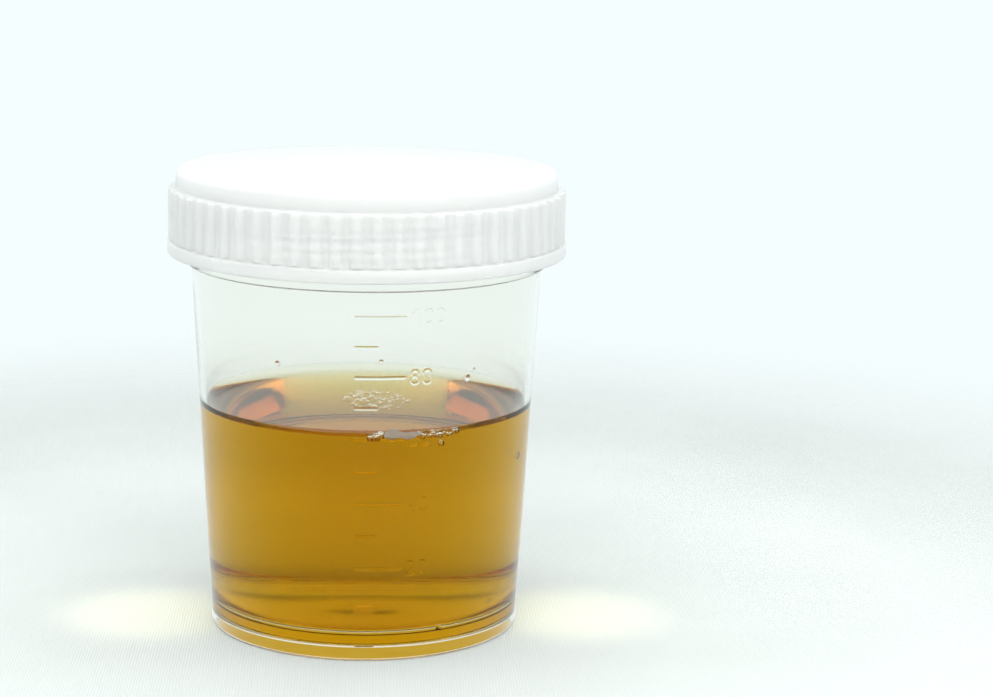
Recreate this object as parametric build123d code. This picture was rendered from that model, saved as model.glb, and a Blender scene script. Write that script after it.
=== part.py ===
from build123d import *
import math
import os

# Specimen pot with a screw lid: jar, lid, sealing ring, the liquid in the jar and the foam on it.
# Millimetres, +Z up, origin at the centre of the ring it stands on. The numbered scale faces -Y.

# Jar
WALL = 1.05
BASE_R = 24.6          # outside of the tapered wall, carried down to the table
SHOULDER_R = 27.7      # outside of the tapered wall where it meets the collar
COLLAR_R = 28.5
NECK_R = 27.85
MOUTH_R = 26.8
FOOT_INNER_R = 23.3
FLOOR_BOTTOM = 2.5     # underside of the floor, held off the table by the standing ring
FLOOR_TOP = 3.8
FLOOR_FILLET = 2.2     # inside corner between floor and wall
COLLAR_BOTTOM = 58.35
COLLAR_TOP = 60.5
RIM_TOP = 71.05
RIM_ROUND = 0.45

# Screw thread, right-hand, single start, the same lead on jar and lid
LEAD = 4.5
JAR_THREAD_HEIGHT = 1.15
LID_THREAD_HEIGHT = 1.3
THREAD_FOOT = 1.7      # width of a ridge where it leaves its wall
THREAD_CREST = 0.8
THREAD_SINK = 0.3      # how far a ridge reaches into its wall, so that the two are one moulding
THREAD_TURNS = 1.35
THREAD_BEARING = 215   # where the ridges start, in degrees from +X
JAR_THREAD_START = 63.2
LID_THREAD_DROP = 1.5  # how far the lid's ridge lies below the jar's: the shut lid pulls down

# Lid
LID_R = 31.5           # plain band at the lid's lower edge
LID_BOTTOM = 60.03
BAND_TOP = 62.1
SKIRT_R = 30.75        # between the ribs
RIB_R = 31.3
RIB_WIDTH = 1.3
RIB_COUNT = 62
STEP_HEIGHT = 70.4     # where the ribbed skirt steps in to the crown
CROWN_R = 30.1
CROWN_ROUND = 0.8
LID_TOP = 73.2
LID_PLATE = 1.25
LID_BORE_R = 29.6
CROWN_BORE_R = 28.9
CROWN_BORE_BOTTOM = 70.1
PLUG_R = 26.4          # lip that reaches down inside the jar's mouth
PLUG_WALL = 0.9
PLUG_DROP = 2.6

# Sealing ring, a hair clear of the rim below it and the plate above it
SEAL_INNER_R = 26.6
SEAL_OUTER_R = 28.6
SEAL_GAP = 0.1

# Raised scale
SCALE_MARKS = range(20, 110, 10)       # millilitres
NUMBERED_STEP = 20
MARK_RISE = 0.18
MARK_THICK = 0.38
MARK_LEFT_DEG = -3.8
LONG_MARK_DEG = 16.6
SHORT_MARK_DEG = 7.7
NUMERAL_LEFT_DEG = 14.2
NUMERAL_HEIGHT = 2.4
NUMERAL_WIDTH = 1.45
NUMERAL_PITCH = 1.95
NUMERAL_STROKE = 0.34

# Contents
LIQUID_LEVEL = 35.5
MENISCUS = 1.3         # how far the liquid climbs the wall
LIQUID_GAP = 0.05
FOAM_SPREAD = (4.6, 6.5)               # half-widths of the raft of bubbles, X and Y
FOAM_CENTRE = (1.7, 1.3)
FOAM_RINGS = ((0.0, 1, 0.95), (0.42, 6, 0.75), (0.78, 11, 0.6), (1.12, 15, 0.42))


def wall_radius(z):
    """Outside radius of the tapered wall at height z."""
    return BASE_R + (SHOULDER_R - BASE_R) * z / COLLAR_BOTTOM


def contents_volume(z):
    """Millilitres that the jar holds up to height z."""
    low = wall_radius(FLOOR_TOP) - WALL
    high = wall_radius(z) - WALL
    cone = math.pi * (z - FLOOR_TOP) * (low * low + low * high + high * high) / 3
    corner = (1 - math.pi / 4) * FLOOR_FILLET**2 * 2 * math.pi * (low - 0.22 * FLOOR_FILLET)
    return (cone - corner) / 1000


def height_of(millilitres):
    """Height at which the jar holds that much."""
    low, high = FLOOR_TOP, RIM_TOP
    while high - low > 0.001:
        middle = (low + high) / 2
        if contents_volume(middle) < millilitres:
            low = middle
        else:
            high = middle
    return low


def turned(corners):
    """Solid of revolution about Z from a closed outline of (radius, height, corner rounding)."""
    points = [(radius, height) for radius, height, rounding in corners]
    roundings = [rounding for radius, height, rounding in corners]
    outline = FilletPolyline(*points, radius=roundings, close=True)
    return revolve(Plane.XZ * make_face(outline), axis=Axis.Z)


def helical_ridge(wall_r, height, start_z, outward):
    """Thread ridge on a wall of that radius, climbing counter-clockwise from where it starts."""
    side = 1 if outward else -1
    path = Helix(LEAD, LEAD * THREAD_TURNS, wall_r, center=(0, 0, start_z))
    half_crest = THREAD_CREST / 2
    half_foot = THREAD_FOOT / 2
    half_sunk = half_foot + (half_foot - half_crest) * THREAD_SINK / height
    section = make_face(Polyline(
        (-THREAD_SINK, -half_sunk), (height, -half_crest),
        (height, half_crest), (-THREAD_SINK, half_sunk), close=True,
    ))
    plane = Plane(origin=path @ 0, x_dir=(side, 0, 0), z_dir=path % 0)
    return Rot(0, 0, THREAD_BEARING) * sweep(plane * section, path=path, is_frenet=True)


def stroke(*edges):
    return trace(list(edges), line_width=NUMERAL_STROKE)


def numeral(digit):
    """Flat outline of one digit of the scale, centred on its own middle."""
    w, h = NUMERAL_WIDTH / 2, NUMERAL_HEIGHT / 2
    if digit == "0":
        outer = SlotOverall(2 * h, 2 * w, rotation=90)
        return outer - SlotOverall(2 * h - 2 * NUMERAL_STROKE, 2 * w - 2 * NUMERAL_STROKE, rotation=90)
    if digit == "1":
        return stroke(Line((0, -h), (0, h))) + stroke(Line((0.05, h - 0.1), (-w * 0.75, h * 0.5)))
    if digit == "2":
        r = w - NUMERAL_STROKE / 2
        bowl = CenterArc((0, h - r - NUMERAL_STROKE / 2), r, -35, 200)
        slope = Line(bowl @ 0, (-r, -h + NUMERAL_STROKE / 2))
        foot = Rectangle(2 * w, NUMERAL_STROKE).locate(Location((0, -h + NUMERAL_STROKE / 2)))
        return stroke(bowl) + stroke(slope) + foot
    if digit == "4":
        bar = -h * 0.35
        upright = w * 0.45
        return (
            stroke(Line((upright, -h), (upright, h)))
            + stroke(Line((-w, bar), (w, bar)))
            + stroke(Line((upright, h - 0.1), (-w + 0.1, bar)))
        )
    r = w - NUMERAL_STROKE / 2
    low_ring = Pos(0, -h + w) * (Circle(w) - Circle(w - NUMERAL_STROKE))
    if digit == "6":
        return low_ring + stroke(ThreePointArc((-r, -h + w), (-r * 0.55, h * 0.45), (w * 0.6, h - 0.1)))
    upper = (2 * h - 2 * w + NUMERAL_STROKE) / 2
    return low_ring + Pos(0, h - upper) * (Circle(upper) - Circle(upper - NUMERAL_STROKE))


def on_wall(flat, degrees, z):
    """A flat outline stood on the wall at that bearing from -Y, as a short prism through the wall."""
    r = wall_radius(z)
    depth = 2 * WALL
    plane = Plane(origin=(0, -r - depth / 2, z), x_dir=(1, 0, 0), z_dir=(0, -1, 0))
    return Rot(0, 0, degrees) * extrude(plane * flat, amount=-depth)


def scale_skin():
    """Thin shell just proud of the wall, that the scale is cut from."""
    sink = WALL / 2
    low, high = FLOOR_TOP, COLLAR_BOTTOM - 0.3
    return turned([
        (wall_radius(low) - sink, low, 0), (wall_radius(low) + MARK_RISE, low, 0),
        (wall_radius(high) + MARK_RISE, high, 0), (wall_radius(high) - sink, high, 0),
    ])


def scale():
    """Lines every 10 ml, longer and numbered every 20 ml."""
    skin = scale_skin()
    pieces = []
    for millilitres in SCALE_MARKS:
        z = height_of(millilitres)
        numbered = millilitres % NUMBERED_STEP == 0
        span = LONG_MARK_DEG if numbered else SHORT_MARK_DEG
        arc_length = math.radians(span) * wall_radius(z)
        line = Rectangle(arc_length, MARK_THICK)
        pieces.append(skin & on_wall(line, MARK_LEFT_DEG + span / 2, z))
        if numbered:
            digit_deg = math.degrees(NUMERAL_PITCH / wall_radius(z))
            first = NUMERAL_LEFT_DEG + math.degrees(NUMERAL_WIDTH / 2 / wall_radius(z))
            for place, digit in enumerate(str(millilitres)):
                pieces.append(skin & on_wall(numeral(digit), first + place * digit_deg, z))
    return pieces


def jar():
    cup = turned([
        (0, FLOOR_TOP, 0), (wall_radius(FLOOR_TOP) - WALL, FLOOR_TOP, FLOOR_FILLET),
        (SHOULDER_R - WALL, COLLAR_BOTTOM, 0), (MOUTH_R, RIM_TOP, RIM_ROUND), (NECK_R, RIM_TOP, RIM_ROUND),
        (NECK_R, COLLAR_TOP, 0.3), (COLLAR_R, COLLAR_TOP, 0.3), (COLLAR_R, COLLAR_BOTTOM, 0.3),
        (SHOULDER_R, COLLAR_BOTTOM, 0.3), (BASE_R, 0, 0.6), (FOOT_INNER_R, 0, 0.4),
        (FOOT_INNER_R + 0.1, FLOOR_BOTTOM, 0.8), (0, FLOOR_BOTTOM, 0),
    ])
    gate = Pos(0, 0, FLOOR_BOTTOM) * Cylinder(1.5, 1.0)
    ridge = helical_ridge(NECK_R, JAR_THREAD_HEIGHT, JAR_THREAD_START, outward=True)
    return cup + [gate, ridge] + scale()


def lid():
    underside = LID_TOP - LID_PLATE
    shell = turned([
        (0, LID_TOP, 0), (CROWN_R - 0.1, LID_TOP, CROWN_ROUND), (CROWN_R, STEP_HEIGHT, 0.25),
        (SKIRT_R, STEP_HEIGHT, 0.25), (SKIRT_R, BAND_TOP, 0.2), (LID_R, BAND_TOP, 0.3),
        (LID_R, LID_BOTTOM, 0.3), (LID_BORE_R, LID_BOTTOM, 0.3), (LID_BORE_R, CROWN_BORE_BOTTOM, 0.3),
        (CROWN_BORE_R, CROWN_BORE_BOTTOM, 0.2), (CROWN_BORE_R, underside, 0.3), (PLUG_R, underside, 0.2),
        (PLUG_R - 0.15, underside - PLUG_DROP, 0.25), (PLUG_R - PLUG_WALL, underside - PLUG_DROP, 0.25),
        (PLUG_R - PLUG_WALL, underside, 0.3), (0, underside, 0),
    ])
    rib = Pos((SKIRT_R + RIB_R) / 2 - 0.2, 0) * RectangleRounded(RIB_R - SKIRT_R + 0.4, RIB_WIDTH, 0.3)
    ribs = [extrude(Rot(0, 0, 360 * n / RIB_COUNT) * rib, amount=STEP_HEIGHT - BAND_TOP - 0.2)
            for n in range(RIB_COUNT)]
    shell = shell + [Pos(0, 0, BAND_TOP - 0.1) * one for one in ribs]
    gate = Pos(0, 0, LID_TOP) * Cylinder(2.2, 0.5)
    shell = shell - gate
    ridge = helical_ridge(LID_BORE_R, LID_THREAD_HEIGHT, JAR_THREAD_START - LID_THREAD_DROP, outward=False)
    return shell + ridge


def seal():
    low = RIM_TOP + SEAL_GAP
    high = LID_TOP - LID_PLATE - SEAL_GAP
    return turned([
        (SEAL_INNER_R, low, 0.15), (SEAL_OUTER_R, low, 0.15),
        (SEAL_OUTER_R, high, 0.15), (SEAL_INNER_R, high, 0.15),
    ])


def liquid():
    """The liquid up to its level, with the meniscus that climbs the wall."""
    low_r = wall_radius(FLOOR_TOP) - WALL - LIQUID_GAP
    top = LIQUID_LEVEL + MENISCUS
    top_r = wall_radius(top) - WALL - LIQUID_GAP
    floor = FLOOR_TOP + LIQUID_GAP
    flat_r = top_r - 1.5 * MENISCUS
    side = FilletPolyline(
        (0, floor), (low_r, floor), (top_r, top), radius=[FLOOR_FILLET],
    )
    climb = ThreePointArc(
        (top_r, top), (top_r - 0.3 * MENISCUS, LIQUID_LEVEL + 0.33 * MENISCUS), (flat_r, LIQUID_LEVEL)
    )
    surface = Line((flat_r, LIQUID_LEVEL), (0, LIQUID_LEVEL))
    axis_line = Line((0, LIQUID_LEVEL), (0, floor))
    return revolve(Plane.XZ * make_face(side + climb + surface + axis_line), axis=Axis.Z)


def foam():
    """Domes of a raft of bubbles, in loose rings about its middle, each one a separate solid."""
    domes = []
    for reach, count, radius in FOAM_RINGS:
        for n in range(count):
            bearing = 2 * math.pi * (n + 0.37 * reach) / count
            x = FOAM_CENTRE[0] + FOAM_SPREAD[0] * reach * math.cos(bearing)
            y = FOAM_CENTRE[1] + FOAM_SPREAD[1] * reach * math.sin(bearing)
            dome = Sphere(radius, arc_size1=0, align=(Align.CENTER, Align.CENTER, Align.MIN))
            domes.append(Pos(x, y, LIQUID_LEVEL + LIQUID_GAP) * dome)
    return Compound(children=domes)


os.makedirs("parts", exist_ok=True)
export_step(jar(), "parts/specimen_jar.step")
export_step(lid(), "parts/screw_lid.step")
export_step(seal(), "parts/lid_seal.step")
export_step(liquid(), "parts/urine_sample.step")
export_step(foam(), "parts/foam_bubbles.step")
for mark in SCALE_MARKS:
    print("mark", mark, "ml at", round(height_of(mark), 2), "mm")
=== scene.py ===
import math
import random

import bmesh
import bpy
import numpy as np
from mathutils import Matrix, Vector


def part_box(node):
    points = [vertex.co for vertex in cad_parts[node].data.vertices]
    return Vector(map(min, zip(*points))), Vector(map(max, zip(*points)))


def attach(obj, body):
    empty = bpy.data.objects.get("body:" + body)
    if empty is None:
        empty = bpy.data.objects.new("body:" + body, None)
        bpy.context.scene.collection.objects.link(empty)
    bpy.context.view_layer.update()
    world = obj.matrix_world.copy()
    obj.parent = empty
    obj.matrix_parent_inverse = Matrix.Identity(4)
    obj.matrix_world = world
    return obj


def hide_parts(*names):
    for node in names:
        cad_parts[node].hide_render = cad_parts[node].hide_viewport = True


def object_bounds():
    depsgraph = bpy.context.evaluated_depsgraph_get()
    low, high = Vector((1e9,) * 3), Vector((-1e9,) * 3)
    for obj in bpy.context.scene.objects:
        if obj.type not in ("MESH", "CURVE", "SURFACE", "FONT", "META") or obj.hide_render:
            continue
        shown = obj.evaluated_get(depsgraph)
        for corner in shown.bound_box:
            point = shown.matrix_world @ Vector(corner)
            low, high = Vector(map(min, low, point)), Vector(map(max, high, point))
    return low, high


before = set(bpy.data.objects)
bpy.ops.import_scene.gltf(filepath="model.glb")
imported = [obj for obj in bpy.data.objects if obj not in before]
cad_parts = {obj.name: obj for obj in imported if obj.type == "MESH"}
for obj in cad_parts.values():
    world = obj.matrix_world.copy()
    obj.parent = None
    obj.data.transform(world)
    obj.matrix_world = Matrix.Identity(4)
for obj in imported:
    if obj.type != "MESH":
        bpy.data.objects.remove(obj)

bl_info = {
    "name": "Screw-lid specimen pot",
    "version": (1, 0, 0),
    "blender": (4, 5, 0),
    "location": "View3D > Sidebar > Specimen pot",
    "description": "Jar, lid, seal, sample and foam of a specimen pot, built round its packed frame",
    "category": "Object",
}

MM = 0.001
CAD_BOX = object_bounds()
LID_RADIUS = (CAD_BOX[1].x - CAD_BOX[0].x) / 2
POT_HEIGHT = CAD_BOX[1].z - CAD_BOX[0].z
RIM_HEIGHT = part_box("specimen_jar")[1].z
LID_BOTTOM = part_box("screw_lid")[0].z
SEAL_LOW, SEAL_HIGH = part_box("lid_seal")
FOAM_LOW, FOAM_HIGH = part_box("foam_bubbles")
SEAL_INNER = 26.6 * MM
FLOOR_FILLET = 2.2 * MM
URINE_IOR = 1.335


# ---------------------------------------------------------------- sizes and colours a user would change


def linear(hex_colour):
    """Linear RGBA from an sRGB hex colour."""
    channels = [int(hex_colour[i:i + 2], 16) / 255 for i in (1, 3, 5)]
    return [c / 12.92 if c <= 0.04045 else ((c + 0.055) / 1.055) ** 2.4 for c in channels] + [1.0]


class JarSizes(bpy.types.PropertyGroup):
    wall: bpy.props.FloatProperty(
        name="Wall", description="Thickness of the jar's wall", default=1.05 * MM, unit="LENGTH")
    base_radius: bpy.props.FloatProperty(
        name="Base radius", description="Outside of the tapered wall at the table",
        default=24.6 * MM, unit="LENGTH")
    shoulder_radius: bpy.props.FloatProperty(
        name="Shoulder radius", description="Outside of the tapered wall at the collar",
        default=27.7 * MM, unit="LENGTH")
    shoulder_height: bpy.props.FloatProperty(
        name="Shoulder height", description="Height where the wall meets the collar",
        default=58.35 * MM, unit="LENGTH")
    collar_radius: bpy.props.FloatProperty(
        name="Collar radius", description="Outside of the collar under the thread",
        default=28.5 * MM, unit="LENGTH")
    collar_top: bpy.props.FloatProperty(
        name="Collar top", description="Height of the collar's upper face", default=60.5 * MM, unit="LENGTH")
    neck_radius: bpy.props.FloatProperty(
        name="Neck radius", description="Outside of the neck between the threads",
        default=27.85 * MM, unit="LENGTH")
    mouth_radius: bpy.props.FloatProperty(
        name="Mouth radius", description="Inside of the mouth", default=26.8 * MM, unit="LENGTH")
    floor_top: bpy.props.FloatProperty(
        name="Floor top", description="Height of the floor's inside", default=3.8 * MM, unit="LENGTH")
    floor_bottom: bpy.props.FloatProperty(
        name="Floor bottom", description="Height of the floor's underside", default=2.5 * MM, unit="LENGTH")
    foot_radius: bpy.props.FloatProperty(
        name="Foot inside radius", description="Inside of the standing ring",
        default=23.3 * MM, unit="LENGTH")
    mark_rise: bpy.props.FloatProperty(
        name="Mark rise", description="How far the scale stands off the wall",
        default=0.05 * MM, unit="LENGTH")
    tint: bpy.props.FloatVectorProperty(
        name="Plastic tint", description="Colour of the clear polypropylene", subtype="COLOR",
        size=3, min=0, max=1, default=linear("#FBFBF7")[:3])


class ThreadSizes(bpy.types.PropertyGroup):
    lead: bpy.props.FloatProperty(
        name="Lead", description="Rise of the thread in one turn", default=4.5 * MM, unit="LENGTH")
    turns: bpy.props.FloatProperty(
        name="Turns", description="Length of each ridge in turns", default=1.35)
    bearing: bpy.props.FloatProperty(
        name="Bearing", description="Where the ridges start, from +X",
        default=math.radians(215), subtype="ANGLE")
    jar_start: bpy.props.FloatProperty(
        name="Jar ridge start", description="Height where the jar's ridge starts",
        default=63.2 * MM, unit="LENGTH")
    lid_drop: bpy.props.FloatProperty(
        name="Lid ridge drop", description="How far the lid's ridge lies below the jar's",
        default=1.5 * MM, unit="LENGTH")
    jar_height: bpy.props.FloatProperty(
        name="Jar ridge height", description="How far the jar's ridge stands off the neck",
        default=1.15 * MM, unit="LENGTH")
    lid_height: bpy.props.FloatProperty(
        name="Lid ridge height", description="How far the lid's ridge stands off its bore",
        default=1.3 * MM, unit="LENGTH")
    foot: bpy.props.FloatProperty(
        name="Ridge foot", description="Width of a ridge where it leaves its wall",
        default=1.7 * MM, unit="LENGTH")
    crest: bpy.props.FloatProperty(
        name="Ridge crest", description="Width of a ridge's flat top", default=0.8 * MM, unit="LENGTH")


class LidSizes(bpy.types.PropertyGroup):
    band_top: bpy.props.FloatProperty(
        name="Band top", description="Height where the plain band ends", default=62.1 * MM, unit="LENGTH")
    skirt_radius: bpy.props.FloatProperty(
        name="Skirt radius", description="Outside of the skirt between ribs",
        default=30.75 * MM, unit="LENGTH")
    rib_radius: bpy.props.FloatProperty(
        name="Rib radius", description="Outside of the ribs", default=31.3 * MM, unit="LENGTH")
    rib_width: bpy.props.FloatProperty(
        name="Rib width", description="Width of one rib", default=1.3 * MM, unit="LENGTH")
    rib_count: bpy.props.IntProperty(
        name="Ribs", description="Ribs round the skirt", default=62, min=8)
    step_height: bpy.props.FloatProperty(
        name="Step height", description="Height where the skirt steps in", default=70.4 * MM, unit="LENGTH")
    crown_radius: bpy.props.FloatProperty(
        name="Crown radius", description="Outside of the smooth crown", default=30.1 * MM, unit="LENGTH")
    plate: bpy.props.FloatProperty(
        name="Plate", description="Thickness of the lid's top", default=1.25 * MM, unit="LENGTH")
    bore_radius: bpy.props.FloatProperty(
        name="Bore radius", description="Inside of the skirt", default=29.6 * MM, unit="LENGTH")
    crown_bore: bpy.props.FloatProperty(
        name="Crown bore", description="Inside of the crown", default=28.9 * MM, unit="LENGTH")
    plug_radius: bpy.props.FloatProperty(
        name="Plug radius", description="Outside of the plug lip", default=26.4 * MM, unit="LENGTH")
    plug_drop: bpy.props.FloatProperty(
        name="Plug drop", description="Reach of the plug lip", default=2.6 * MM, unit="LENGTH")
    colour: bpy.props.FloatVectorProperty(
        name="Lid colour", description="Colour of the milky polyethylene", subtype="COLOR",
        size=3, min=0, max=1, default=linear("#FEFFFC")[:3])


class SampleSizes(bpy.types.PropertyGroup):
    level: bpy.props.FloatProperty(
        name="Level", description="Height of the liquid's surface", default=35.5 * MM, unit="LENGTH")
    meniscus: bpy.props.FloatProperty(
        name="Meniscus", description="Climb of the liquid at the wall", default=1.3 * MM, unit="LENGTH")
    strength: bpy.props.FloatProperty(
        name="Strength", description="How strongly the liquid takes up light, per metre", default=150, min=0)
    colour: bpy.props.FloatVectorProperty(
        name="Liquid colour", description="Colour left after the liquid takes up light", subtype="COLOR",
        size=3, min=0, max=1, default=linear("#F6E900")[:3])
    bubbles: bpy.props.IntProperty(
        name="Bubbles", description="Bubbles in the raft on the liquid", default=60, min=0)


GROUPS = {"pot_jar": JarSizes, "pot_thread": ThreadSizes, "pot_lid": LidSizes, "pot_sample": SampleSizes}


# ---------------------------------------------------------------- nodes and materials


def node(tree, kind, settings=(), links=()):
    """Adds a node of that kind. settings are (socket or property, value) and links are (input, output
    socket)."""
    made = tree.nodes.new(kind)
    for name, value in settings:
        if isinstance(name, int) or name in made.inputs:
            made.inputs[name].default_value = value
        else:
            setattr(made, name, value)
    for name, socket in links:
        tree.links.new(socket, made.inputs[name])
    return made


def blank_material(name):
    material = bpy.data.materials.new(name)
    material.use_nodes = True
    material.node_tree.nodes.clear()
    return material, material.node_tree


def moulding_coordinates(tree):
    """Position on the piece in millimetres, the same whatever the piece is."""
    place = node(tree, "ShaderNodeTexCoord")
    return node(tree, "ShaderNodeVectorMath", [("operation", "SCALE"), ("Scale", 1 / MM)],
                [(0, place.outputs["Object"])]).outputs[0]


def bump(tree, height, strength, distance):
    return node(tree, "ShaderNodeBump", [("Strength", strength), ("Distance", distance)],
                [("Height", height)]).outputs["Normal"]


# Liquid against plastic hardly mirrors, so the mirroring face on is turned down and that at the edges stays.
# The dry outside of the wall loses some of its gloss by it too, which a real wall would keep.
INDEX_MATCHED = (0.12, 0.12, 0.12, 1)


def clear_polypropylene(tint):
    """Clarified polypropylene, injection moulded: glassy and nearly colourless, with slow waves where the
    melt flowed, so that what lies behind it wavers a little."""
    material, tree = blank_material("Clarified polypropylene, injection moulded")
    place = moulding_coordinates(tree)
    stretched = node(tree, "ShaderNodeMapping", [("Scale", (1.0, 1.0, 0.35))], [("Vector", place)])
    flow = node(tree, "ShaderNodeTexNoise", [("Scale", 1 / 9.0), ("Detail", 2.0), ("Roughness", 0.4)],
                [("Vector", stretched.outputs[0])])
    normal = bump(tree, flow.outputs["Fac"], 1.0, 0.02 * MM)
    shader = node(tree, "ShaderNodeBsdfPrincipled", [
        ("Base Color", (*tint, 1)), ("Roughness", 0.03), ("IOR", 1.49), ("Transmission Weight", 1.0),
        ("Specular Tint", INDEX_MATCHED),
    ], [("Normal", normal)])
    node(tree, "ShaderNodeOutputMaterial", links=[("Surface", shader.outputs[0])])
    return material


def milky_polyethylene(colour):
    """Low-density polyethylene, injection moulded: milky, with a satin skin and a soft glow where light
    comes through it."""
    material, tree = blank_material("Low-density polyethylene, injection moulded")
    place = moulding_coordinates(tree)
    grain = node(tree, "ShaderNodeTexNoise", [("Scale", 1 / 0.6), ("Detail", 3.0), ("Roughness", 0.6)],
                 [("Vector", place)])
    normal = bump(tree, grain.outputs["Fac"], 0.35, 0.02 * MM)
    shader = node(tree, "ShaderNodeBsdfPrincipled", [
        ("Base Color", (*colour, 1)), ("Roughness", 0.28), ("IOR", 1.51), ("Transmission Weight", 0.4),
        ("Subsurface Weight", 1.0), ("Subsurface Radius", (1.0, 1.0, 1.0)), ("Subsurface Scale", 1.5 * MM),
    ], [("Normal", normal)])
    node(tree, "ShaderNodeOutputMaterial", links=[("Surface", shader.outputs[0])])
    return material


def foamed_polyethylene():
    """Closed-cell polyethylene foam, die cut: matt and white, with cells a few tenths of a millimetre
    across."""
    material, tree = blank_material("Polyethylene foam, die cut")
    place = moulding_coordinates(tree)
    cells = node(tree, "ShaderNodeTexVoronoi", [("Scale", 1 / 0.35)], [("Vector", place)])
    normal = bump(tree, cells.outputs["Distance"], 0.5, 0.05 * MM)
    shader = node(tree, "ShaderNodeBsdfPrincipled", [
        ("Base Color", linear("#F1F3EE")), ("Roughness", 0.7), ("IOR", 1.5),
        ("Subsurface Weight", 0.6), ("Subsurface Radius", (1.0, 1.0, 1.0)), ("Subsurface Scale", 1 * MM),
    ], [("Normal", normal)])
    node(tree, "ShaderNodeOutputMaterial", links=[("Surface", shader.outputs[0])])
    return material


def urine(colour, strength):
    """Fresh urine, still: clear amber, deep where it is thick and pale at the edge, with a flat top."""
    material, tree = blank_material("Urine, clear and still")
    shader = node(tree, "ShaderNodeBsdfPrincipled", [
        ("Base Color", (1, 1, 1, 1)), ("Roughness", 0.0), ("IOR", URINE_IOR),
        ("Transmission Weight", 1.0), ("Specular Tint", INDEX_MATCHED),
    ])
    volume = node(tree, "ShaderNodeVolumeAbsorption", [("Color", (*colour, 1)), ("Density", strength)])
    node(tree, "ShaderNodeOutputMaterial",
         links=[("Surface", shader.outputs[0]), ("Volume", volume.outputs[0])])
    return material


def woven_cotton():
    """White cotton sheet, plain weave: matt, with a fine grid of threads and slow unevenness. It fades out
    away from the pot."""
    material, tree = blank_material("Cotton sheet, plain weave")
    place = moulding_coordinates(tree)
    thread = 0.45
    fade_from, fade_to = 90, 260
    rows = [node(tree, "ShaderNodeTexWave", [
        ("wave_type", "BANDS"), ("bands_direction", way), ("Scale", 2 * math.pi / (20 * thread)),
        ("Distortion", 0.6), ("Detail", 1.0), ("Detail Scale", 1.0),
    ], [("Vector", place)]) for way in ("X", "Y")]
    weave = node(tree, "ShaderNodeMath", [("operation", "MULTIPLY")],
                 [(0, rows[0].outputs["Fac"]), (1, rows[1].outputs["Fac"])])
    slow = node(tree, "ShaderNodeTexNoise", [("Scale", 1 / 35), ("Detail", 3.0)], [("Vector", place)])
    tone = node(tree, "ShaderNodeMix", [("data_type", "RGBA")])
    tone.inputs[6].default_value = linear("#C7CAC7")
    tone.inputs[7].default_value = linear("#D4D8D5")
    both = node(tree, "ShaderNodeMath", [("operation", "ADD"), ("use_clamp", True)],
                [(0, weave.outputs[0]), (1, slow.outputs["Fac"])])
    tree.links.new(both.outputs[0], tone.inputs[0])
    normal = bump(tree, weave.outputs[0], 0.6, 0.08 * MM)
    shader = node(tree, "ShaderNodeBsdfPrincipled", [("Roughness", 0.95), ("Specular IOR Level", 0.1)],
                  [("Base Color", tone.outputs[2]), ("Normal", normal)])
    away = node(tree, "ShaderNodeVectorMath", [("operation", "LENGTH")], [(0, place)])
    fade = node(tree, "ShaderNodeMapRange", [
        ("interpolation_type", "SMOOTHSTEP"), ("From Min", fade_from), ("From Max", fade_to),
        ("To Min", 1.0), ("To Max", 0.0),
    ], [("Value", away.outputs["Value"])])
    clear = node(tree, "ShaderNodeBsdfTransparent")
    mixed = node(tree, "ShaderNodeMixShader",
                 links=[(0, fade.outputs[0]), (1, clear.outputs[0]), (2, shader.outputs[0])])
    node(tree, "ShaderNodeOutputMaterial", links=[("Surface", mixed.outputs[0])])
    return material


def liquid_film(name):
    """Clear liquid skin round air: hardly there face on, bright and dark at its rim."""
    material, tree = blank_material(name)
    shader = node(tree, "ShaderNodeBsdfPrincipled", [
        ("Base Color", (1.0, 0.99, 0.95, 1)), ("Roughness", 0.0), ("IOR", URINE_IOR),
        ("Transmission Weight", 1.0),
    ])
    node(tree, "ShaderNodeOutputMaterial", links=[("Surface", shader.outputs[0])])
    return material


# ---------------------------------------------------------------- shapes


def rounded(corners, steps=5):
    """Points along an outline of (radius, height, rounding), in order, with an arc at each rounded corner."""
    points = []
    for i, (r, z, rounding) in enumerate(corners):
        here = np.array([r, z])
        if not rounding or i in (0, len(corners) - 1):
            points.append(here)
            continue
        back = np.array(corners[i - 1][:2]) - here
        ahead = np.array(corners[i + 1][:2]) - here
        back, ahead = back / np.linalg.norm(back), ahead / np.linalg.norm(ahead)
        half = math.acos(np.clip(back @ ahead, -1, 1)) / 2
        reach = rounding / math.tan(half)
        centre = here + (back + ahead) / np.linalg.norm(back + ahead) * rounding / math.sin(half)
        start = here + back * reach - centre
        turn = math.pi - 2 * half
        side = math.copysign(1, back[0] * ahead[1] - back[1] * ahead[0])
        for k in range(steps + 1):
            a = -side * turn * k / steps
            points.append(centre + np.array([
                start[0] * math.cos(a) - start[1] * math.sin(a),
                start[0] * math.sin(a) + start[1] * math.cos(a)]))
    return np.array(points)


def filled(points, step, low, high):
    """The same outline with extra points between heights low and high, at most step apart."""
    made = [points[0]]
    for a, b in zip(points[:-1], points[1:]):
        inside = min(a[1], b[1]) >= low - 1e-9 and max(a[1], b[1]) <= high + 1e-9
        count = max(1, math.ceil(abs(b[1] - a[1]) / step)) if inside else 1
        made += [a + (b - a) * k / count for k in range(1, count + 1)]
    return np.array(made)


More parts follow.
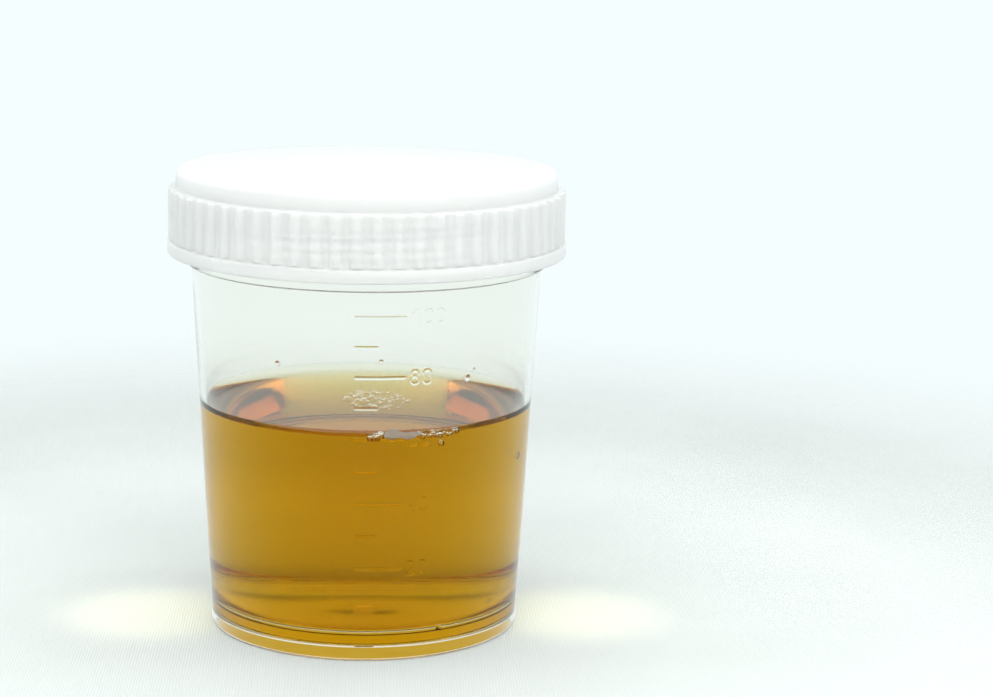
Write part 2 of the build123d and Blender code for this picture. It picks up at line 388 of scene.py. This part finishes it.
def turned_mesh(name, outline, bearings, shape=None):
    """Closed mesh turned about Z from an outline that starts and ends on the axis, or closes on itself.
    shape(bearing, height, radius) may return each point's changed radius."""
    ring = outline[0][0] > 1e-7
    body = outline if ring else outline[1:-1]
    radius = np.repeat(body[:, :1], len(bearings), axis=1)
    height = np.repeat(body[:, 1:], len(bearings), axis=1)
    if shape is not None:
        radius = shape(bearings[None, :], height, radius)
    points = np.stack([radius * np.cos(bearings), radius * np.sin(bearings), height], axis=-1).reshape(-1, 3)
    rows, columns = len(body), len(bearings)
    faces = []
    for i in range(rows if ring else rows - 1):
        low, high = i * columns, (i + 1) % rows * columns
        for j in range(columns):
            k = (j + 1) % columns
            faces.append((low + j, low + k, high + k, high + j))
    points = list(map(tuple, points))
    if not ring:
        first, last = len(points), len(points) + 1
        points += [(0, 0, outline[0][1]), (0, 0, outline[-1][1])]
        end = (rows - 1) * columns
        faces += [(first, (j + 1) % columns, j) for j in range(columns)]
        faces += [(last, end + j, end + (j + 1) % columns) for j in range(columns)]
    mesh = bpy.data.meshes.new(name)
    mesh.from_pydata(points, [], faces)
    mesh.update()
    return mesh


def piece(name, mesh, material, body, slot, *replaced, sharp=math.radians(40)):
    """Object from a closed mesh, with its faces turned outward, smooth but for its sharp edges."""
    bm = bmesh.new()
    bm.from_mesh(mesh)
    bmesh.ops.recalc_face_normals(bm, faces=bm.faces)
    bm.to_mesh(mesh)
    bm.free()
    mesh.materials.append(material)
    mesh.shade_smooth()
    mesh.set_sharp_from_angle(angle=sharp)
    made = bpy.data.objects.new(name, mesh)
    bpy.context.scene.collection.objects.link(made)
    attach(made, body)
    if replaced:
        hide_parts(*replaced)
    return made


def smoothstep(x):
    x = np.clip(x, 0, 1)
    return x * x * (3 - 2 * x)


def ridge_rise(bearing, height, start, thread, rise):
    """How far a helical ridge stands off its wall at each bearing and height."""
    made = np.zeros(np.broadcast(bearing, height).shape)
    swept = (bearing - thread.bearing) % (2 * math.pi)
    for lap in range(math.ceil(thread.turns)):
        along = swept + 2 * math.pi * lap
        middle = start + thread.lead * along / (2 * math.pi)
        reach = thread.turns * 2 * math.pi
        fade = smoothstep(along / 0.5) * smoothstep((reach - along) / 0.5)
        off = np.abs(height - middle)
        slope = np.clip((thread.foot / 2 - off) / (thread.foot / 2 - thread.crest / 2), 0, 1)
        made = np.maximum(made, rise * fade * slope)
    return made


# ---------------------------------------------------------------- the raised scale


SCALE_MARKS = range(20, 110, 10)
LONG_MARK = (math.radians(-3.8), math.radians(12.8))
SHORT_MARK = (math.radians(-3.8), math.radians(3.9))
MARK_HALF = 0.19 * MM
NUMERAL_LEFT = math.radians(14.2)
NUMERAL_W, NUMERAL_H = 0.725 * MM, 1.2 * MM
NUMERAL_PITCH = 1.95 * MM
STROKE_HALF = 0.17 * MM
EDGE = 0.07 * MM


def wall_radius(jar, z):
    return jar.base_radius + (jar.shoulder_radius - jar.base_radius) * z / jar.shoulder_height


def height_of(jar, millilitres):
    """Height at which the jar holds that much."""
    low, high = jar.floor_top, jar.shoulder_height * 1.2
    fillet = FLOOR_FILLET
    while high - low > 1e-6:
        middle = (low + high) / 2
        a, b = wall_radius(jar, jar.floor_top) - jar.wall, wall_radius(jar, middle) - jar.wall
        cone = math.pi * (middle - jar.floor_top) * (a * a + a * b + b * b) / 3
        corner = (1 - math.pi / 4) * fillet**2 * 2 * math.pi * (a - 0.22 * fillet)
        if (cone - corner) * 1e6 < millilitres:
            low = middle
        else:
            high = middle
    return low


def to_line(x, y, a, b):
    """Distance from each point to the stroke from a to b."""
    ax, ay = a
    dx, dy = b[0] - ax, b[1] - ay
    t = np.clip(((x - ax) * dx + (y - ay) * dy) / (dx * dx + dy * dy), 0, 1)
    return np.hypot(x - ax - t * dx, y - ay - t * dy)


def to_arc(x, y, centre, r, start, end):
    """Distance from each point to an arc, counter-clockwise from start to end, in degrees."""
    px, py = x - centre[0], y - centre[1]
    angle = (np.degrees(np.arctan2(py, px)) - start) % 360
    on_arc = np.abs(np.hypot(px, py) - r)
    ends = [np.hypot(px - r * math.cos(math.radians(e)), py - r * math.sin(math.radians(e)))
            for e in (start, end)]
    return np.where(angle <= end - start, on_arc, np.minimum(*ends))


def to_numeral(x, y, digit):
    """Distance from each point to the strokes of one digit, centred on its own middle."""
    w, h = NUMERAL_W - STROKE_HALF, NUMERAL_H - STROKE_HALF
    if digit == "0":
        return np.minimum.reduce([
            to_arc(x, y, (0, h - w), w, 0, 180), to_arc(x, y, (0, w - h), w, 180, 360),
            to_line(x, y, (-w, w - h), (-w, h - w)), to_line(x, y, (w, w - h), (w, h - w))])
    if digit == "1":
        return np.minimum(to_line(x, y, (0, -h), (0, h)), to_line(x, y, (0, h), (-w * 0.8, h * 0.5)))
    if digit == "2":
        low = (w * math.cos(math.radians(-35)), h - w + w * math.sin(math.radians(-35)))
        return np.minimum.reduce([
            to_arc(x, y, (0, h - w), w, -35, 165), to_line(x, y, low, (-w, -h)),
            to_line(x, y, (-w, -h), (w, -h))])
    if digit == "4":
        return np.minimum.reduce([
            to_line(x, y, (w * 0.5, -h), (w * 0.5, h)), to_line(x, y, (-w, -h * 0.35), (w, -h * 0.35)),
            to_line(x, y, (w * 0.5, h), (-w, -h * 0.35))])
    ring = to_arc(x, y, (0, w - h), w, 0, 360)
    if digit == "6":
        return np.minimum(ring, to_arc(x, y, (1.9 * w, w - h), 2.9 * w, 118, 180))
    upper = h - w
    return np.minimum(ring, to_arc(x, y, (0, h - upper), upper, 0, 360))


def scale_rise(jar, bearing, height):
    """How far the scale stands off the wall at each bearing and height."""
    turn = (bearing + math.pi / 2 + math.pi) % (2 * math.pi) - math.pi
    made = np.zeros(np.broadcast(bearing, height).shape)
    for millilitres in SCALE_MARKS:
        z = height_of(jar, millilitres)
        r = wall_radius(jar, z)
        x, y = turn * r, height - z
        numbered = millilitres % 20 == 0
        left, right = LONG_MARK if numbered else SHORT_MARK
        across = np.maximum(left * r + MARK_HALF - x, x - right * r + MARK_HALF)
        off = np.hypot(np.maximum(across, 0), y) - MARK_HALF
        made = np.maximum(made, smoothstep(0.5 - off / EDGE))
        if numbered:
            for i, digit in enumerate(str(millilitres)):
                middle = NUMERAL_LEFT * r + NUMERAL_W + i * NUMERAL_PITCH
                off = to_numeral(x - middle, y, digit) - STROKE_HALF
                made = np.maximum(made, smoothstep(0.5 - off / EDGE))
    return made * jar.mark_rise


# ---------------------------------------------------------------- operators


class POT_OT_jar(bpy.types.Operator):
    """Build the moulded jar with its thread and raised scale"""

    bl_idname = "pot.jar"
    bl_label = "Jar"

    def execute(self, context):
        jar, thread = context.scene.pot_jar, context.scene.pot_thread
        inner_low = wall_radius(jar, jar.floor_top) - jar.wall
        rim_round = 0.45 * MM
        gate_r, gate_drop = 1.5 * MM, 0.5 * MM
        inside = rounded([
            (0, jar.floor_top, 0), (inner_low, jar.floor_top, FLOOR_FILLET),
            (jar.shoulder_radius - jar.wall, jar.shoulder_height, 0),
            (jar.mouth_radius, RIM_HEIGHT, rim_round),
            (jar.neck_radius, RIM_HEIGHT, rim_round), (jar.neck_radius, jar.collar_top, 0.3 * MM),
            (jar.collar_radius, jar.collar_top, 0.3 * MM), (jar.collar_radius, jar.shoulder_height, 0.3 * MM),
            (jar.shoulder_radius, jar.shoulder_height, 0.3 * MM), (jar.base_radius, 0, 0.6 * MM),
            (jar.foot_radius, 0, 0.4 * MM), (jar.foot_radius + 0.1 * MM, jar.floor_bottom, 0.8 * MM),
            (gate_r, jar.floor_bottom, 0.15 * MM),
            (gate_r - 0.1 * MM, jar.floor_bottom - gate_drop, 0.2 * MM),
            (0, jar.floor_bottom - gate_drop, 0),
        ])
        outline = self.with_scale_rows(jar, inside)

        def shape(bearing, height, radius):
            outer = radius > wall_radius(jar, height) - jar.wall / 2
            on_neck = outer & (height > jar.collar_top) & (np.abs(radius - jar.neck_radius) < 0.01 * MM)
            on_wall = outer & (height < jar.shoulder_height - 0.4 * MM) & (height > jar.floor_top)
            made = radius + np.where(on_neck, ridge_rise(bearing, height, thread.jar_start, thread,
                                                         thread.jar_height), 0)
            return made + np.where(on_wall, scale_rise(jar, bearing, height), 0)

        mesh = turned_mesh("specimen_jar_mesh", outline, self.bearings(), shape)
        piece("moulded_jar", mesh, clear_polypropylene(jar.tint), "jar", "clear_polypropylene",
              "specimen_jar", sharp=math.radians(60))
        return {"FINISHED"}

    def with_scale_rows(self, jar, outline):
        """Rows close together across the scale's lines and numerals and up the threaded neck."""
        rows = []
        line = [off * side for off in (MARK_HALF - EDGE / 2, MARK_HALF, MARK_HALF + EDGE, 0.36 * MM)
                for side in (-1, 1)]
        for millilitres in SCALE_MARKS:
            z = height_of(jar, millilitres)
            rows += [z] + [z + off for off in line]
            if millilitres % 20 == 0:
                rows += [z + side * off for off in np.linspace(0.45 * MM, NUMERAL_H + 0.2 * MM, 11)
                         for side in (-1, 1)]
        rows = sorted(rows, reverse=True)
        made = []
        for a, b in zip(outline[:-1], outline[1:]):
            made.append(a)
            tall = abs(b[1] - a[1])
            if tall > 40 * MM and a[1] > b[1]:
                made += [a + (b - a) * (a[1] - z) / tall for z in rows if b[1] < z < a[1]]
            elif abs(a[0] - b[0]) < 1e-9 and abs(a[0] - jar.neck_radius) < 1e-6 and tall > 5 * MM:
                count = math.ceil(tall / (0.16 * MM))
                made += [a + (b - a) * k / count for k in range(1, count)]
            elif tall > 20 * MM:
                made += [a + (b - a) * k / 12 for k in range(1, 12)]
        made.append(outline[-1])
        return np.array(made)

    def bearings(self):
        """Columns close together across the scale, wider apart round the rest of the jar."""
        low, high = math.radians(-90 - 5), math.radians(-90 + 28)
        fine = np.arange(low, high, math.radians(0.25))
        coarse = np.linspace(high, low + 2 * math.pi, 132, endpoint=False)
        return np.concatenate([fine, coarse])


class POT_OT_lid(bpy.types.Operator):
    """Build the ribbed screw lid with its thread and plug lip"""

    bl_idname = "pot.lid"
    bl_label = "Lid"

    def execute(self, context):
        lid, thread = context.scene.pot_lid, context.scene.pot_thread
        top, under = POT_HEIGHT, POT_HEIGHT - lid.plate
        gate_r, gate_deep = 2.2 * MM, 0.25 * MM
        outline = rounded([
            (0, top - gate_deep, 0), (gate_r - 0.1 * MM, top - gate_deep, 0.1 * MM), (gate_r, top, 0.1 * MM),
            (lid.crown_radius - 0.1 * MM, top, 0.8 * MM), (lid.crown_radius, lid.step_height, 0.25 * MM),
            (lid.skirt_radius, lid.step_height, 0.25 * MM), (lid.skirt_radius, lid.band_top, 0.2 * MM),
            (LID_RADIUS, lid.band_top, 0.3 * MM), (LID_RADIUS, LID_BOTTOM, 0.3 * MM),
            (lid.bore_radius, LID_BOTTOM, 0.3 * MM), (lid.bore_radius, lid.step_height - 0.3 * MM, 0.3 * MM),
            (lid.crown_bore, lid.step_height - 0.3 * MM, 0.2 * MM), (lid.crown_bore, under, 0.3 * MM),
            (lid.plug_radius, under, 0.2 * MM),
            (lid.plug_radius - 0.15 * MM, under - lid.plug_drop, 0.25 * MM),
            (lid.plug_radius - 0.9 * MM, under - lid.plug_drop, 0.25 * MM),
            (lid.plug_radius - 0.9 * MM, under, 0.3 * MM), (0, under, 0),
        ])
        outline = self.with_rows(lid, outline)
        rib_low, rib_high = lid.band_top, lid.step_height
        rib_pitch = 2 * math.pi / lid.rib_count

        def shape(bearing, height, radius):
            on_skirt = np.abs(radius - lid.skirt_radius) < 0.3 * MM
            on_skirt = on_skirt & (height > rib_low) & (height < rib_high)
            off = np.abs((bearing + rib_pitch / 2) % rib_pitch - rib_pitch / 2) * lid.rib_radius
            side = smoothstep((lid.rib_width / 2 + 0.15 * MM - off) / (0.3 * MM))
            ends = smoothstep((rib_high - height) / (0.35 * MM)) * smoothstep((height - rib_low) / (0.3 * MM))
            ribs = (lid.rib_radius - lid.skirt_radius) * side * ends
            made = radius + np.where(on_skirt, ribs, 0)
            on_bore = np.abs(radius - lid.bore_radius) < 0.01 * MM
            start = thread.jar_start - thread.lid_drop
            return made - np.where(on_bore, ridge_rise(bearing, height, start, thread, thread.lid_height), 0)

        bearings = np.linspace(0, 2 * math.pi, lid.rib_count * 10, endpoint=False)
        mesh = turned_mesh("screw_lid_mesh", outline, bearings, shape)
        piece("ribbed_lid", mesh, milky_polyethylene(lid.colour), "lid", "milky_polyethylene", "screw_lid",
              sharp=math.radians(50))
        return {"FINISHED"}

    def with_rows(self, lid, outline):
        """Rows close together up the ribs' ends and up the threaded bore."""
        made = []
        for a, b in zip(outline[:-1], outline[1:]):
            made.append(a)
            tall = abs(b[1] - a[1])
            if abs(a[0] - lid.bore_radius) < 1e-6 and tall > 5 * MM:
                count = math.ceil(tall / (0.2 * MM))
                made += [a + (b - a) * k / count for k in range(1, count)]
            elif abs(a[0] - lid.skirt_radius) < 1e-6 and tall > 5 * MM:
                for share in (0.02, 0.04, 0.06, 0.1, 0.3, 0.5, 0.7, 0.9, 0.94, 0.96, 0.98):
                    made.append(a + (b - a) * share)
        made.append(outline[-1])
        return np.array(made)


class POT_OT_seal(bpy.types.Operator):
    """Build the sealing ring between rim and lid"""

    bl_idname = "pot.seal"
    bl_label = "Sealing ring"

    def execute(self, context):
        outer, inner = SEAL_HIGH.x, SEAL_INNER
        corners = [(inner, SEAL_LOW.z), (outer, SEAL_LOW.z), (outer, SEAL_HIGH.z), (inner, SEAL_HIGH.z)]
        corners = [(r, z, 0.15 * MM) for r, z in corners]
        around = rounded([corners[-1], *corners, corners[0]])[1:-1]
        mesh = turned_mesh("lid_seal_mesh", around, np.linspace(0, 2 * math.pi, 256, endpoint=False))
        piece("sealing_ring", mesh, foamed_polyethylene(), "seal", "seal_polyethylene", "lid_seal")
        return {"FINISHED"}


class POT_OT_sample(bpy.types.Operator):
    """Fill the jar with liquid up to its level"""

    bl_idname = "pot.sample"
    bl_label = "Sample"

    def execute(self, context):
        jar, sample = context.scene.pot_jar, context.scene.pot_sample
        # The liquid reaches this far into the wall and down into the floor, so that no gap of air shows.
        soak = 0.08 * MM
        floor = jar.floor_bottom + soak
        low_r = wall_radius(jar, floor) - jar.wall + soak
        top = sample.level + sample.meniscus
        top_r = wall_radius(jar, top) - jar.wall + soak
        side = rounded([(0, floor, 0), (low_r, floor, 0.4 * MM), (top_r, top, 0)])
        outline = filled(side, 3 * MM, floor, top)
        wet = 3.2 * sample.meniscus
        climb = [(top_r - soak - wet * t, sample.level + sample.meniscus * math.exp(-4.5 * t) * (1 - t) ** 2)
                 for t in np.linspace(0, 1, 24) ** 1.6]
        flat = [(r * (climb[-1][0]), sample.level) for r in (0.8, 0.6, 0.4, 0.2, 0)]
        outline = np.concatenate([outline, np.array(climb), np.array(flat)])
        mesh = turned_mesh("urine_sample_mesh", outline, np.linspace(0, 2 * math.pi, 360, endpoint=False))
        piece("amber_sample", mesh, urine(sample.colour, sample.strength), "jar", "urine", "urine_sample",
              sharp=math.radians(50))
        return {"FINISHED"}


def add_ball(points, faces, centre, r, turn, squash=None, across=20, up=12):
    """One closed ball, with its faces outward or, for the air inside a film, inward. squash is (axis,
    share)."""
    first = len(points)
    made_points = [(0, 0, r)]
    for i in range(1, up):
        tilt = math.pi * i / up
        made_points += [(r * math.sin(tilt) * math.cos(2 * math.pi * j / across),
                         r * math.sin(tilt) * math.sin(2 * math.pi * j / across), r * math.cos(tilt))
                        for j in range(across)]
    made_points.append((0, 0, -r))
    for point in made_points:
        here = Vector(point)
        if squash:
            axis, share = squash
            here -= axis * here.dot(axis) * (1 - share)
        points.append(tuple(Vector(centre) + here))
    last = len(points) - 1
    made = []
    for j in range(across):
        k = (j + 1) % across
        made.append((first, first + 1 + j, first + 1 + k))
        end = first + 1 + (up - 2) * across
        made.append((last, end + k, end + j))
        for i in range(up - 2):
            row = first + 1 + i * across
            made.append((row + j, row + across + j, row + across + k, row + k))
    faces += made if turn > 0 else [f[::-1] for f in made]


def film_piece(name, points, faces, material, slot, *replaced):
    """Object made of many small closed balls, whose faces already point the right way."""
    mesh = bpy.data.meshes.new(name + "_mesh")
    mesh.from_pydata(points, [], faces)
    mesh.update()
    mesh.materials.append(material)
    mesh.shade_smooth()
    made = bpy.data.objects.new(name, mesh)
    bpy.context.scene.collection.objects.link(made)
    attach(made, "jar")
    if replaced:
        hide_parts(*replaced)
    return made


def at_wall(jar, bearing_deg, height, inset):
    """Point inside the wall at a bearing from the front, and the outward direction there."""
    bearing = math.radians(bearing_deg)
    out = Vector((math.sin(bearing), -math.cos(bearing), 0))
    return out * (wall_radius(jar, height) - jar.wall - inset) + Vector((0, 0, height)), out


FILM = 0.05 * MM
# Bearings are degrees from the front. Radii, and the heights of the drops, are millimetres.
CLUSTER = (1.4, 2.9, 4.0, 5.2)
CHAIN_START, CHAIN_END, CHAIN_STEP = 18.5, 33.5, 1.3
WALL_DROPS = ((-30.4, 46.4, 0.45), (4.9, 47.5, 0.38), (35.8, 44.1, 0.6), (38.5, 45.3, 0.25))


class POT_OT_foam(bpy.types.Operator):
    """Float the raft of bubbles on the liquid"""

    bl_idname = "pot.foam"
    bl_label = "Foam"

    def execute(self, context):
        sample = context.scene.pot_sample
        rng = random.Random(11)
        centre = ((FOAM_LOW.x + FOAM_HIGH.x) / 2, (FOAM_LOW.y + FOAM_HIGH.y) / 2)
        half = ((FOAM_HIGH.x - FOAM_LOW.x) / 2, (FOAM_HIGH.y - FOAM_LOW.y) / 2)
        placed = []
        for attempt in range(6000):
            if len(placed) >= sample.bubbles:
                break
            reach, bearing = math.sqrt(rng.random()), rng.random() * 2 * math.pi
            across = reach * math.cos(bearing)
            largest = (1.05 - 0.6 * smoothstep((across + 1) / 1.6)) * MM
            r = largest * rng.uniform(0.3, 1.0)
            x = centre[0] + (half[0] - r) * across
            y = centre[1] + (half[1] - r) * reach * math.sin(bearing)
            if all(math.hypot(x - u, y - v) > 0.92 * (r + s) for u, v, s in placed):
                placed.append((x, y, r))
        points, faces = [], []
        for x, y, r in placed:
            for shell, turn in ((r, 1), (r - FILM, -1)):
                add_ball(points, faces, (x, y, sample.level - 0.3 * r), shell, turn)
        film_piece("foam_raft", points, faces, liquid_film("Urine film round air"), "foam", "foam_bubbles")
        return {"FINISHED"}


class POT_OT_wall_bubbles(bpy.types.Operator):
    """Hang bubbles and a film of froth along the waterline, and drops on the wall above it"""

    bl_idname = "pot.wall_bubbles"
    bl_label = "Bubbles and drops at the wall"

    def execute(self, context):
        jar, sample = context.scene.pot_jar, context.scene.pot_sample
        rng = random.Random(5)
        film = liquid_film("Urine film at the wall")
        points, faces = [], []
        cluster = [(bearing, rng.uniform(0.25, 0.6)) for bearing in CLUSTER]
        chain = [(bearing, rng.uniform(0.22, 0.5))
                 for bearing in np.arange(CHAIN_START, CHAIN_END, CHAIN_STEP)]
        for bearing, size in cluster + chain:
            r = size * MM
            height = sample.level + rng.uniform(0.0, 0.4) * MM
            place, out = at_wall(jar, bearing, height, r - 0.12 * MM)
            add_ball(points, faces, place, r, -1)
        film_piece("waterline_bubbles", points, faces, film, "foam")

        points, faces = [], []
        under = [(27, sample.level - 1.3 * MM, 0.55), (70, 29 * MM, 0.6), (52.2, 6.6 * MM, 0.22),
                 (53.6, 6.9 * MM, 0.26), (55.0, 6.8 * MM, 0.2)]
        for bearing, height, size in under:
            place, out = at_wall(jar, bearing, height, size * MM + 0.1 * MM)
            add_ball(points, faces, place, size * MM, -1)
        film_piece("trapped_air", points, faces, liquid_film("Air in urine"), "foam")

        points, faces = [], []
        for bearing, height, size in WALL_DROPS:
            place, out = at_wall(jar, bearing, height * MM, 0.12 * size * MM)
            add_ball(points, faces, place, size * MM, 1, squash=(out, 0.45))
        film_piece("wall_drops", points, faces, liquid_film("Drops of urine"), "foam")
        self.froth(jar, sample)
        return {"FINISHED"}

    def froth(self, jar, sample):
        """A thin wedge of fine froth lying on the wall just above the waterline."""
        material, tree = blank_material("Froth of fine bubbles")
        place = moulding_coordinates(tree)
        cells = node(tree, "ShaderNodeTexVoronoi", [("Scale", 1 / 0.25)], [("Vector", place)])
        normal = bump(tree, cells.outputs["Distance"], 0.8, 0.08 * MM)
        shader = node(tree, "ShaderNodeBsdfPrincipled", [
            ("Base Color", linear("#E9D8CA")), ("Roughness", 0.4), ("IOR", URINE_IOR),
            ("Transmission Weight", 0.35),
        ], [("Normal", normal)])
        node(tree, "ShaderNodeOutputMaterial", links=[("Surface", shader.outputs[0])])
        low, high, steps, sides = 6.0, 18.5, 28, 12
        tallest, sunk = 0.75 * MM, 0.2 * MM
        points = []
        for i in range(steps + 1):
            share = i / steps
            bearing = low + (high - low) * share
            swell = math.sin(math.pi * share ** 0.7) ** 0.6
            tall = tallest * swell * (1 + 0.25 * math.sin(9 * share)) + 0.02 * MM
            thick = 0.35 * tall
            middle = sample.level + 0.5 * MM + 0.15 * MM * math.sin(7 * share)
            for k in range(sides):
                a = 2 * math.pi * k / sides
                place, out = at_wall(jar, bearing, middle + tall * math.sin(a),
                                     thick * (1 - math.cos(a)) - sunk)
                points.append(tuple(place))
        faces = [tuple(range(sides)), tuple(steps * sides + k for k in reversed(range(sides)))]
        for i in range(steps):
            for k in range(sides):
                nxt = (k + 1) % sides
                faces.append((i * sides + k, (i + 1) * sides + k, (i + 1) * sides + nxt, i * sides + nxt))
        mesh = bpy.data.meshes.new("froth_film_mesh")
        mesh.from_pydata(points, [], faces)
        mesh.update()
        piece("froth_film", mesh, material, "jar", "foam")


class POT_OT_stage(bpy.types.Operator):
    """Set the pale floor, the soft light and the camera"""

    bl_idname = "pot.stage"
    bl_label = "Stage"

    def execute(self, context):
        self.floor(context)
        self.world(context)
        self.lights(context)
        self.camera(context)
        view = context.scene.view_settings
        view.view_transform = "Standard"
        view.look = "None"
        context.scene.cycles.max_bounces = 32
        context.scene.cycles.diffuse_bounces = 12
        context.scene.cycles.transmission_bounces = 24
        context.scene.cycles.glossy_bounces = 8
        context.scene.cycles.transparent_max_bounces = 16
        return {"FINISHED"}

    def floor(self, context):
        """One flat white sheet, which fades into the bright room round it."""
        reach, thick = 0.32, 1 * MM
        outline = np.array([(0, 0), (0.06, 0), (0.12, 0), (reach, 0), (reach, -thick), (0, -thick)])
        mesh = turned_mesh("sheet_mesh", outline, np.linspace(0, 2 * math.pi, 128, endpoint=False))
        mesh.materials.append(woven_cotton())
        floor = bpy.data.objects.new("sheet", mesh)
        context.scene.collection.objects.link(floor)
        floor.visible_glossy = False
        self.lit_cloth(context)

    def lit_cloth(self, context):
        """The round of cloth under the pot, with a painted amber glow: it gives off amber light of its own,
        in place of what would come down through the sample."""
        material, tree = blank_material("Cotton sheet with painted amber glow")
        place = moulding_coordinates(tree)
        slow = node(tree, "ShaderNodeTexNoise", [("Scale", 1 / 6), ("Detail", 3.0)], [("Vector", place)])
        tone = node(tree, "ShaderNodeMix", [("data_type", "RGBA")])
        tone.inputs[6].default_value = linear("#BE9422")
        tone.inputs[7].default_value = linear("#CCAA3C")
        tree.links.new(slow.outputs["Fac"], tone.inputs[0])
        # Painted light: the cloth glows amber by emission and is not lit through the sample.
        shader = node(tree, "ShaderNodeEmission", [("Strength", 1.0)], [("Color", tone.outputs[2])])
        node(tree, "ShaderNodeOutputMaterial", links=[("Surface", shader.outputs[0])])
        radius, thick = context.scene.pot_jar.foot_radius - 0.1 * MM, 0.02 * MM
        outline = np.array([(0, 0), (radius, 0), (radius, thick), (0, thick)])
        mesh = turned_mesh("lit_cloth_mesh", outline, np.linspace(0, 2 * math.pi, 128, endpoint=False))
        mesh.materials.append(material)
        lit = bpy.data.objects.new("lit_cloth", mesh)
        context.scene.collection.objects.link(lit)

    def world(self, context):
        """Light all round, brightest behind the pot and less from the front."""
        world = bpy.data.worlds.new("Bright room")
        context.scene.world = world
        world.use_nodes = True
        tree = world.node_tree
        tree.nodes.clear()
        direction = node(tree, "ShaderNodeTexCoord")
        parts = node(tree, "ShaderNodeSeparateXYZ", links=[(0, direction.outputs["Generated"])])
        depth = node(tree, "ShaderNodeMapRange", [
            ("From Min", -0.5), ("From Max", 0.6), ("To Min", 0.55), ("To Max", 1.0),
        ], [("Value", parts.outputs["Y"])])
        sky = node(tree, "ShaderNodeBackground", [("Color", linear("#F5FEFF"))],
                   [("Strength", depth.outputs[0])])
        node(tree, "ShaderNodeOutputWorld", links=[("Surface", sky.outputs[0])])

    def lights(self, context):
        """A broad softbox in front, a low one each side and one overhead. Two spots lay the amber light
        beside the foot, in place of light gathered by the sample."""
        for name, place, aim, size, watts in (
            ("front_softbox", (0.05, -0.50, 0.38), (0, 0, 0.06), (1.1, 0.6), 3.6),
            ("left_softbox", (-0.50, 0.0, 0.15), (0, 0, 0.03), (0.12, 0.12), 0.3),
            ("right_softbox", (0.50, 0.0, 0.15), (0, 0, 0.03), (0.12, 0.12), 0.3),
            ("overhead_softbox", (0.0, -0.03, 0.5), (0, 0, 0.05), (0.8, 0.7), 2.1),
        ):
            light = bpy.data.lights.new(name, "AREA")
            light.shape = "RECTANGLE"
            light.size, light.size_y = size
            light.energy = watts
            lamp = bpy.data.objects.new(name, light)
            lamp.location = place
            lamp.rotation_euler = (Vector(aim) - lamp.location).to_track_quat("-Z", "Y").to_euler()
            lamp.visible_transmission = abs(place[0]) < 0.4
            lamp.visible_glossy = False
            context.scene.collection.objects.link(lamp)
        for side in (-1, 1):
            light = bpy.data.lights.new("amber_glow", "SPOT")
            light.energy = 2.2
            light.color = linear("#FFF6B0")[:3]
            light.spot_size, light.spot_blend = math.radians(5.6), 1.0
            light.shadow_soft_size = 0.004
            lamp = bpy.data.objects.new("amber_glow", light)
            lamp.location = (side * 0.14, 0, 0.35)
            aim = Vector((side * 0.034, 0, 0)) - lamp.location
            lamp.rotation_euler = aim.to_track_quat("-Z", "Y").to_euler()
            context.scene.collection.objects.link(lamp)

    def camera(self, context):
        """Camera thirteen lid radii away, a little above, with its slight pan and roll."""
        away, above = 13.0 * LID_RADIUS, 4.028 * LID_RADIUS
        pitch, pan, roll = math.radians(11.38), math.radians(2.913), math.radians(1.052)
        forward = Vector((math.sin(pan) * math.cos(pitch), math.cos(pan) * math.cos(pitch), -math.sin(pitch)))
        right = Vector((math.cos(pan), -math.sin(pan), 0))
        up = right.cross(forward)
        rolled = right * math.cos(roll) + up * math.sin(roll)
        upright = up * math.cos(roll) - right * math.sin(roll)
        data = bpy.data.cameras.new("camera")
        data.sensor_width = 36
        data.lens = 94.62
        data.clip_start, data.clip_end = 0.01, 50
        camera = bpy.data.objects.new("camera", data)
        turn = Matrix((rolled, upright, -forward)).transposed().to_4x4()
        camera.matrix_world = Matrix.Translation((0, -away, above)) @ turn
        context.scene.collection.objects.link(camera)
        context.scene.camera = camera


class POT_PT_panel(bpy.types.Panel):
    bl_label = "Specimen pot"
    bl_space_type = "VIEW_3D"
    bl_region_type = "UI"
    bl_category = "Specimen pot"

    def draw(self, context):
        for operator in OPERATORS:
            self.layout.operator(operator.bl_idname)
        for name, group in GROUPS.items():
            box = self.layout.box()
            for prop in group.__annotations__:
                box.prop(getattr(context.scene, name), prop)


OPERATORS = (
    POT_OT_jar, POT_OT_lid, POT_OT_seal, POT_OT_sample, POT_OT_foam, POT_OT_wall_bubbles, POT_OT_stage)
CLASSES = (*GROUPS.values(), *OPERATORS, POT_PT_panel)


def register():
    for cls in CLASSES:
        bpy.utils.register_class(cls)
    for name, group in GROUPS.items():
        setattr(bpy.types.Scene, name, bpy.props.PointerProperty(type=group))


def unregister():
    for name in GROUPS:
        delattr(bpy.types.Scene, name)
    for cls in reversed(CLASSES):
        bpy.utils.unregister_class(cls)


def main():
    register()
    for build in (bpy.ops.pot.jar, bpy.ops.pot.lid, bpy.ops.pot.seal, bpy.ops.pot.sample, bpy.ops.pot.foam,
                  bpy.ops.pot.wall_bubbles, bpy.ops.pot.stage):
        build()


if __name__ == "__main__":
    main()
